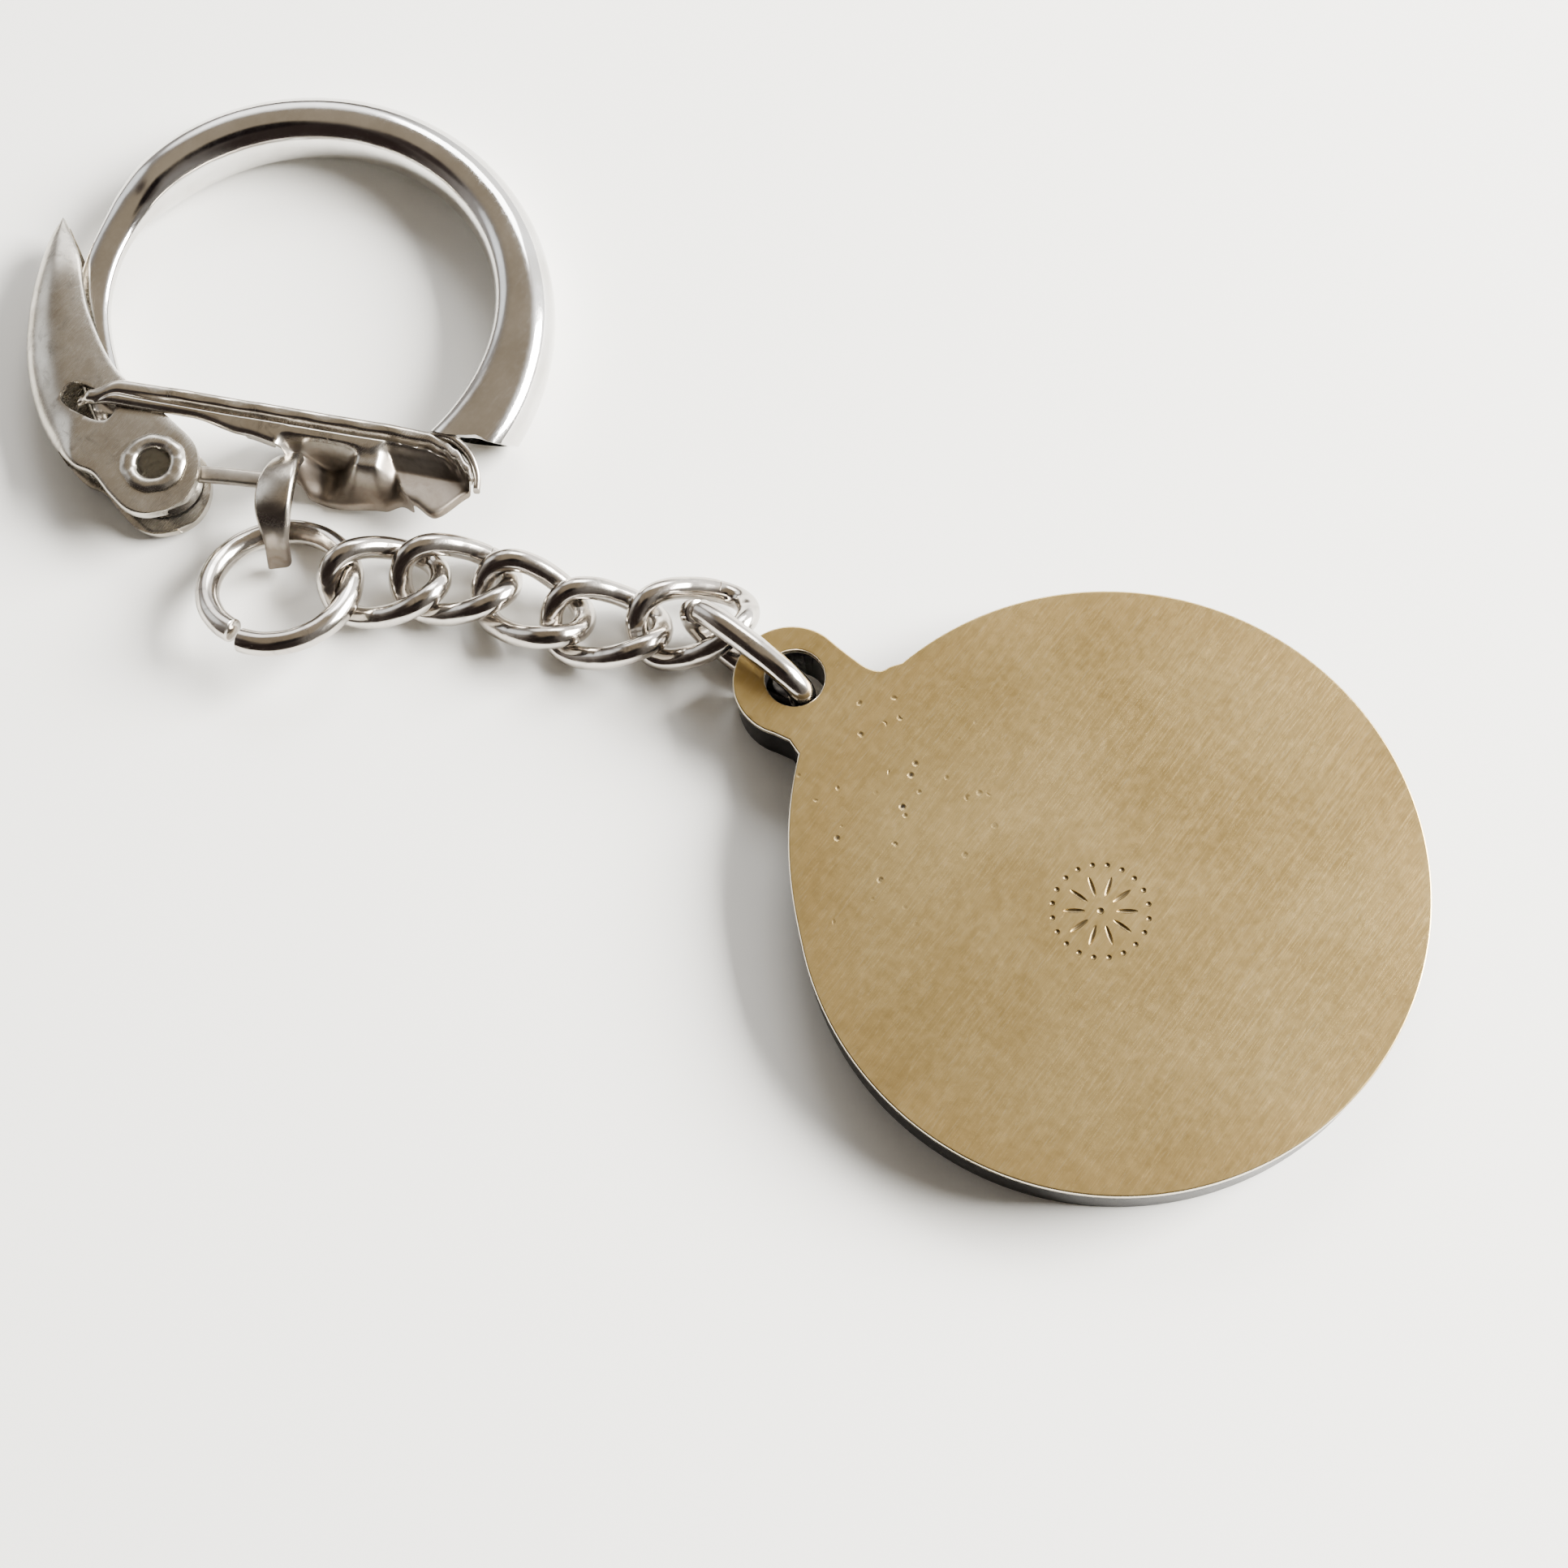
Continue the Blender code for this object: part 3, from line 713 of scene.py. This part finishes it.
# Angle, middle radius, width, height, inner and outer roundness, and sink of the middle height.
BOW_STATIONS = (
    (2.0, 14.45, 4.4, 3.9, 4.5, 3.0, 0.0),
    (12.0, 14.5, 4.25, 4.0, 4.2, 2.8, 0.0),
    (30.0, 14.6, 3.9, 4.05, 3.4, 2.5, 0.0),
    (50.0, 14.65, 3.65, 4.1, 2.7, 2.3, 0.0),
    (80.0, 14.65, 3.5, 4.1, 2.3, 2.2, 0.0),
    (120.0, 14.65, 3.5, 4.1, 2.2, 2.2, 0.0),
    (150.0, 14.6, 3.5, 4.05, 2.3, 2.2, 0.0),
    (168.0, 14.45, 3.2, 3.5, 2.4, 2.2, 0.0),
    (178.0, 14.3, 2.7, 2.1, 2.5, 2.3, 0.0),
    (188.0, 13.95, 2.3, 1.35, 2.6, 2.4, 0.0),
    (208.0, 13.3, 2.3, 1.25, 2.8, 2.6, -0.03),
    (228.0, 12.7, 2.5, 1.25, 2.8, 2.6, -0.27),
    (252.0, 12.45, 2.8, 1.3, 2.8, 2.6, -0.35),
    (264.0, 12.6, 2.8, 1.3, 2.8, 2.6, -0.35),
)


def bow_ring(station, trim=0.0, advance=0.0, sides=44):
    angle, radius, width, height, inner, outer, sink = station
    ring = []
    for k in range(sides):
        t = 2 * math.pi * k / sides
        power = outer if math.cos(t) > 0 else inner
        px, pz = superellipse(width / 2 - trim, height / 2 - trim, power, t)
        skew = 4.0 * max(0.0, 1 - angle / 24.0) * px / 2.0
        lean = -3.6 * max(0.0, 1 - angle / 22.0) * pz / (height / 2)
        turn = math.radians(angle + skew + lean + advance * notch(px / (width / 2), pz / (height / 2)))
        ring.append(at(BOW[0] + (radius + px) * math.cos(turn), BOW[1] + (radius + px) * math.sin(turn),
                       MID + sink + pz))
    return ring


def notch(across, up):
    """How far the open end is cut back at a point of its rim: a nick at the top, outside the middle."""
    return math.exp(-((across - 0.25) / 0.32) ** 2) * max(0.0, up) ** 2


def bow(chrome):
    stations = catmull(BOW_STATIONS, 14)
    rings = [bow_ring(s, advance=1.6 * max(0.0, 1 - i / 6)) for i, s in enumerate(stations)]
    lip = [bow_ring(stations[0], BOW_WALL * 0.5, 1.7)]
    inner = [bow_ring(s, BOW_WALL, advance=1.6 * max(0.0, 1 - i / 6)) for i, s in enumerate(stations[:22])]
    rings = inner[::-1] + lip + rings
    obj = make("bow_ring", skin(rings), chrome, 45.0)
    boolean(obj, cylinder(RIVET.xy, BOW_EYE_RADIUS, 1.15, 2.45), "UNION")
    boolean(obj, cylinder(RIVET.xy, EYE_BORE, 0, 4))
    finish_piece(obj, "bow", "bow", "bow")


SPINE = (
    (-79.85, -3.0), (-79.45, -4.7), (-78.40, -6.9), (-77.0, -9.2), (-75.25, -11.4), (-73.2, -13.25),
    (-70.8, -14.75), (-68.6, -15.55), (-66.6, -15.85), (-65.2, -15.6), (-63.5, -16.0), (-61.9, -16.2),
    (-60.7, -15.8), (-59.8, -14.9),
)
CHEEK = (
    (-79.45, -3.05), (-77.9, -3.85), (-76.2, -4.85), (-74.5, -6.3), (-72.9, -7.45), (-70.2, -8.85),
    (-68.2, -9.45), (-65.6, -9.75), (-63.2, -10.0), (-61.4, -10.3), (-60.2, -11.2), (-59.5, -12.3),
    (-59.3, -13.4), (-59.5, -14.3),
)
SHEET = 0.62
HORN_LOW, HORN_HIGH = 0.4, 3.95


def ease(low, high, x):
    t = min(1.0, max(0.0, (x - low) / (high - low)))
    return t * t * (3 - 2 * t)


def horn_section(outer, inner, grow, flat, steps=9):
    """One U-shaped section: down the outside from the front cheek to the back one, and back inside.

    flat is 0 on the horn, whose spine is one round bend, and 1 on the ear, whose cheeks are flat."""
    across = inner - outer
    width = across.length
    across.normalize()
    middle = (HORN_LOW + HORN_HIGH) / 2
    half = (HORN_HIGH - HORN_LOW) / 2 * grow
    sheet = min(SHEET, width * 0.25, half * 0.32)

    def side(depth, h):
        deep = (min(2.9, width * 0.62) * (1 - flat) + 0.30 * flat) - depth * 0.5
        tall = h * (0.97 - 0.75 * flat)
        droop = 0.12 * (1 - flat) * grow
        run = []
        for k in range(8):
            share = k / 8
            z = h - droop * (1 - share) ** 2
            run.append((depth + deep + (width - depth - deep) * (1 - share), z))
        for k in range(steps + 1):
            t = math.pi / 2 * k / steps
            run.append((depth + deep - deep * math.sin(t), h - tall + tall * math.cos(t)))
        return run

    def place(d, z):
        return at(outer.x + across.x * d, outer.y + across.y * d, middle + z)

    outside = side(0.0, half)
    inside = side(sheet, half - sheet)
    outline = outside + [(d, -z) for d, z in reversed(outside)]
    outline += [(d, -z) for d, z in inside] + [(d, z) for d, z in reversed(inside)]
    return [place(d, z) for d, z in outline]


def horn(look):
    outer = catmull(SPINE, 7)
    inner = catmull(CHEEK, 7)
    rings = []
    for a, b in zip(outer, inner):
        run = (Vector(a) - Vector(outer[0])).length
        grow = 0.36 + 0.64 * math.sin(min(1.0, run / 6.5) * math.pi / 2)
        rings.append(horn_section(Vector(a), Vector(b), grow, ease(-70.5, -66.5, a[0])))
    obj = make("thumb_horn", skin(rings), look, 40.0)
    gap = [at(*p).xy for p in ((-68.4, -14.9), (-67.6, -18.0), (-55.0, -18.0), (-55.0, -9.0), (-63.0, -11.0))]
    boolean(obj, prism(gap, HORN_LOW + SHEET, HORN_HIGH - SHEET))
    boolean(obj, cylinder(RIVET.xy, HORN_BORE, -1, 6))
    boolean(obj, slot())
    soften(obj, 0.09, 2, 50.0)
    apply_modifiers(obj)
    obj.data.shade_smooth()
    obj.data.set_sharp_from_angle(angle=math.radians(50))
    finish_piece(obj, "gate", "lever", "horn_lever")


def slot():
    turn = math.radians(8.0)
    outline = []
    for k in range(40):
        px, py = superellipse(1.9, 0.95, 2.8, 2 * math.pi * k / 40)
        outline.append(at(-68.7 + px * math.cos(turn) - py * math.sin(turn),
                          -12.1 + px * math.sin(turn) + py * math.cos(turn)).xy)
    return prism(outline, HORN_HIGH - 1.2, HORN_HIGH + 1.0)


# The bar is laid out along its beam: run is the distance from the horn's end, out is the distance
# from the beam's edge on the ring side.
BEAM_START, BEAM_END = Vector((-67.6, -9.75)), Vector((-48.9, -0.62))
ALONG = (BEAM_END - BEAM_START).normalized()
OUTWARD = Vector((ALONG.y, -ALONG.x))


def beam_at(run, out, z):
    place = BEAM_START + ALONG * run + OUTWARD * out
    return at(place.x, place.y, z)


def along_curve(points, run):
    """A value read from a short list of (run, value) pairs, eased between them."""
    if run <= points[0][0]:
        return points[0][1]
    for (a, first), (b, second) in zip(points, points[1:]):
        if run <= b:
            return first + (second - first) * ease(a, b, run)
    return points[-1][1]


# The beam's two edges as (run, out), and its upper face as (run, height).
RING_EDGE = ((-3.1, 1.45), (-2.1, 0.95), (0.0, 0.02), (5.0, -0.02), (19.5, -0.12), (20.6, 0.15), (21.4, 0.62),
             (22.4, 1.5), (22.9, 2.35))
FREE_EDGE = ((-3.1, 2.05), (-2.1, 1.75), (0.0, 1.64), (4.7, 1.60), (8.3, 2.15), (10.6, 2.45), (11.6, 3.7),
             (12.4, 4.3), (14.9, 4.6), (17.2, 4.4), (18.4, 4.0), (19.2, 4.2), (20.7, 4.85), (22.9, 2.75))
BEAM_TOP = ((-3.1, 3.0), (-2.6, 3.9), (-1.9, 4.42), (-0.5, 4.58), (3.0, 4.55), (8.0, 4.40), (16.0, 4.12),
            (20.5, 3.75))


def dip(x, centre, width):
    return math.exp(-((x - centre) / width) ** 2)


def pressing(run, out):
    """Height of the bar's upper face: a doubled beam, a trough, a round pad and an end tray."""
    edge = along_curve(RING_EDGE, run)
    free = along_curve(FREE_EDGE, run)
    depth = out - edge
    top = along_curve(BEAM_TOP, run)
    deepen = ease(-1.0, 5.0, run)
    ridge = top - 0.22 * math.exp(-depth / 0.13) - 0.10 * deepen * depth
    ridge -= (0.12 + 0.38 * deepen) * dip(depth, 0.92, 0.16)
    ridge += 0.05 * math.sin(run * 2.3) * dip(depth, 0.30, 0.3) * deepen
    if run < 10.3:
        return ridge - 0.30 * math.exp(-(free - out) / 0.16)
    base = 2.55 - 1.15 * ease(2.6, 4.8, out)
    base -= 1.45 * dip(run, 13.3, 1.25) * (1 - 0.5 * ease(3.0, 4.6, out))
    base += 0.35 * dip(run, 11.7, 0.6) * dip(out, 2.6, 1.0)
    pad = ease(14.3, 15.7, run) * (1 - ease(16.7, 17.9, run)) * (1 - ease(2.7, 4.4, out))
    base += 1.15 * pad
    rim = 17.0 + 0.58 * (out - 1.1) + 0.75 * max(0.0, out - 3.5) ** 1.5
    tray = 3.42 - 0.62 * (out - 0.9) + 0.74 * max(0.0, out - 2.35) - 0.04 * (run - 19.0)
    base += (tray - base) * ease(rim - 0.10, rim + 0.04, run)
    base -= 0.25 * math.exp(-(free - out) / 0.12)
    drop = ease(1.65, 2.45, depth + 0.75 * ease(16.2, 17.4, run) + 0.35 * ease(19.0, 21.0, run))
    return ridge + (base - ridge) * drop * ease(10.35, 11.5, run)


def pressing_floor(run, out, top):
    """Height of the lower face: thin sheet, with a wall down the ring side and one round the trough."""
    edge = along_curve(RING_EDGE, run)
    free = along_curve(FREE_EDGE, run)
    sheet = min(0.45, max(0.2, top - 4.03)) if run < 8.4 else 0.5
    floor_z = top - sheet
    wall = max(1 - ease(0.50, 0.58, out - edge),
               (1 - ease(0.42, 0.50, free - out)) * ease(11.9, 12.3, run) * (1 - ease(17.9, 18.3, run)))
    wall *= ease(8.5, 8.9, run) * (1 - ease(21.2, 22.4, run))
    return floor_z + (min(0.95, floor_z) - floor_z) * wall


def pressed_sheet(along=230, over=54):
    bm = bmesh.new()
    upper, lower = [], []
    start, end = RING_EDGE[0][0], FREE_EDGE[-1][0]
    for i in range(along + 1):
        run = start + (end - start) * i / along
        edge, free = along_curve(RING_EDGE, run), along_curve(FREE_EDGE, run)
        first, second = [], []
        for j in range(over + 1):
            out = edge + (free - edge) * j / over
            top = pressing(run, out)
            first.append(bm.verts.new(beam_at(run, out, top)))
            second.append(bm.verts.new(beam_at(run, out, pressing_floor(run, out, top))))
        upper.append(first)
        lower.append(second)
    for i in range(along):
        for j in range(over):
            bm.faces.new((upper[i][j], upper[i][j + 1], upper[i + 1][j + 1], upper[i + 1][j]))
            bm.faces.new((lower[i][j], lower[i + 1][j], lower[i + 1][j + 1], lower[i][j + 1]))
    rim = ([(i, 0) for i in range(along)] + [(along, j) for j in range(over)]
           + [(i, over) for i in range(along, 0, -1)] + [(0, j) for j in range(over, 0, -1)])
    for (a, b), (c, d) in zip(rim, rim[1:] + rim[:1]):
        bm.faces.new((upper[a][b], upper[c][d], lower[c][d], lower[a][b]))
    return bm


def gate_bar(look):
    bar = make("gate_pressing", pressed_sheet(), look, 40.0)
    boolean(bar, lip(), "UNION", look)
    arm = [(-62.0, -12.7, 2.9), (-60.1, -11.45, 2.9), (-58.5, -10.45, 2.85), (-57.0, -9.55, 2.7),
           (-55.6, -8.7, 2.45)]
    strip = ribbon([at(*p) for p in catmull(arm, 5)], 1.05, 0.6, Vector((0.53, -0.85, 0)))
    boolean(bar, strip, "UNION", look)
    boolean(bar, cylinder(RIVET.xy, BAR_EYE_RADIUS, 2.6, 3.2), "UNION", look)
    boolean(bar, cylinder(RIVET.xy, EYE_BORE, 0, 5), "DIFFERENCE", look)
    boolean(bar, hook(), "UNION", look)
    bar.data.shade_smooth()
    bar.data.set_sharp_from_angle(angle=math.radians(48))
    finish_piece(bar, "gate", "bar", "gate_bar")


def ribbon(path, width, thickness, across, sides=3):
    """A flat strip with rounded long edges along a path. width may be one number or one for each point."""
    across = Vector(across).normalized()
    widths = width if isinstance(width, (list, tuple)) else [width] * len(path)
    rings = []
    for i, point in enumerate(path):
        a, b = Vector(path[max(0, i - 1)]), Vector(path[min(len(path) - 1, i + 1)])
        up = across.cross((b - a).normalized()).normalized()
        ring = []
        for sx, sy, start in ((1, -1, -90), (1, 1, 0), (-1, 1, 90), (-1, -1, 180)):
            r = thickness * 0.38
            for k in range(sides + 1):
                t = math.radians(start + 90 * k / sides)
                ring.append(Vector(point) + across * (sx * (widths[i] / 2 - r) + r * math.cos(t))
                            + up * (sy * (thickness / 2 - r) + r * math.sin(t)))
        rings.append(ring)
    return skin(rings)


def lip():
    """The end wall that curls from the beam round the tray."""
    path = [(18.6, 0.35, 3.05), (19.5, 0.10, 3.22), (20.4, 0.02, 3.42), (21.3, 0.26, 3.50),
            (22.3, 0.95, 3.35), (22.95, 2.0, 3.05), (23.1, 2.9, 2.75)]
    points = [beam_at(*p) for p in catmull(path, 6)]
    rings = []
    for i, p in enumerate(points):
        along = points[min(len(points) - 1, i + 1)] - points[max(0, i - 1)]
        along.z = 0
        along.normalize()
        side = Vector((-along.y, along.x, 0))
        share = i / (len(points) - 1)
        tall = 0.50 - 0.10 * share
        ring = []
        for k in range(16):
            px, pz = superellipse(0.27 - 0.05 * share, tall, 2.8, 2 * math.pi * k / 16)
            ring.append(p + side * (px + 0.12 * pz) + Vector((0, 0, pz)))
        rings.append(ring)
    return skin(rings)


def hook():
    """The strip that bends over the jump ring and ends inside it."""
    path = catmull([(-56.2, -7.3, 2.9), (-56.0, -8.0, 3.5), (-55.6, -8.9, 3.9), (-55.1, -9.8, 4.0),
                    (-54.5, -10.7, 3.85), (-53.95, -11.4, 3.35), (-53.5, -12.0, 2.5),
                    (-53.3, -12.4, 1.6), (-53.15, -12.7, 0.8)], 5)
    widths = [1.55 + 0.95 * math.sin(math.pi * min(1.0, i / (len(path) * 0.72))) for i in range(len(path))]
    return ribbon([at(*p) for p in path], widths, 0.75, Vector((0.80, 0.60, 0.24)), 4)


def rivet(look):
    """A hollow rivet whose rolled rim was set unevenly."""
    highest = 4.33
    rolled = [(1.20, 3.2), (1.06, 3.75), (1.02, 4.0), (1.12, 4.2), (1.32, 4.3), (1.6, 4.32), (1.85, 4.24),
              (2.0, 4.1), (2.0, 4.0), (1.9, 3.97), (1.57, 3.97)]
    foot = [(1.57, 0.37), (2.1, 0.37), (2.24, 0.30), (2.2, 0.10), (2.1, 0.04), (1.32, 0.04), (1.2, 0.12)]
    rings = []
    count = 120
    for k in range(count):
        t = 2 * math.pi * k / count
        uneven = 0.06 * math.sin(2 * t + 0.6) + 0.03 * math.sin(5 * t + 2.0) + 0.018 * math.sin(11 * t + 1.0)
        crimp = -0.035 * max(0.0, math.sin(3 * t + 2.0))
        crimp -= 0.03 * max(0.0, math.sin(8 * t + 0.4)) * math.sin(t + 1) ** 2
        ring = []
        for r, z in rolled + foot:
            share = ease(1.3, 1.9, r) if z > 3.9 else 0.0
            high = min(highest, z + (crimp if z > 4.15 else 0.0))
            ring.append(Vector((RIVET.x + (r + uneven * share) * math.cos(t),
                                RIVET.y + (r + uneven * share) * math.sin(t), high)))
        rings.append(ring)
    obj = make("hollow_rivet", skin(rings, closed=True), look, 40.0)
    finish_piece(obj, "gate", "rivet", "pivot_rivet")


def spring(look):
    """The leaf spring inside the horn, carried over from the frame."""
    node = frame["nodes"]["return_spring"]
    node.data.materials.clear()
    node.data.materials.append(look)


def main():
    camera()
    floor()
    world()
    area_light("window", (0.36, 0.42, 0.30), (0.02, 0.02, 0), (0.40, 0.32), 38.0,
               (1.0, 0.985, 0.955))
    area_light("bounce", (-0.25, 0.45, 0.40), (-0.05, 0, 0.0), (0.30, 0.20), 3.0, (0.98, 0.99, 1.0))
    chrome = metal("bow_chrome", (0.74, 0.73, 0.71), (0.62, 0.60, 0.57), 0.10, 0.10)
    nickel = metal("chain_nickel", (0.61, 0.575, 0.53), (0.47, 0.43, 0.385), 0.14, 0.12, grime=0.35)
    worn = metal("worn_nickel", (0.56, 0.53, 0.475), (0.40, 0.365, 0.31), 0.25, 0.14, grime=0.45,
                 scratch=0.14)
    # The bar's lower parts, between 2.3 and 4.1 mm and below, are painted dark brown as shade.
    pressed = metal("pressed_nickel", (0.62, 0.585, 0.53), (0.44, 0.40, 0.34), 0.21, 0.13, grime=0.45,
                    scratch=0.14, shade_heights=(2.3, 4.1))
    # A paler, silvery copy of the brass, used as a painted highlight on the plate's sides and bevels, and as
    # the dial's trim rings.
    edge = metal("plate_edge_highlight_and_trim", (0.80, 0.74, 0.62), (0.62, 0.54, 0.40), 0.22, 0.14)
    fob(brass_plate(), edge, black_plastic(), enamel(), edge)
    chain(nickel)
    bow(chrome)
    horn(worn)
    gate_bar(pressed)
    rivet(worn)
    spring(worn)


main()
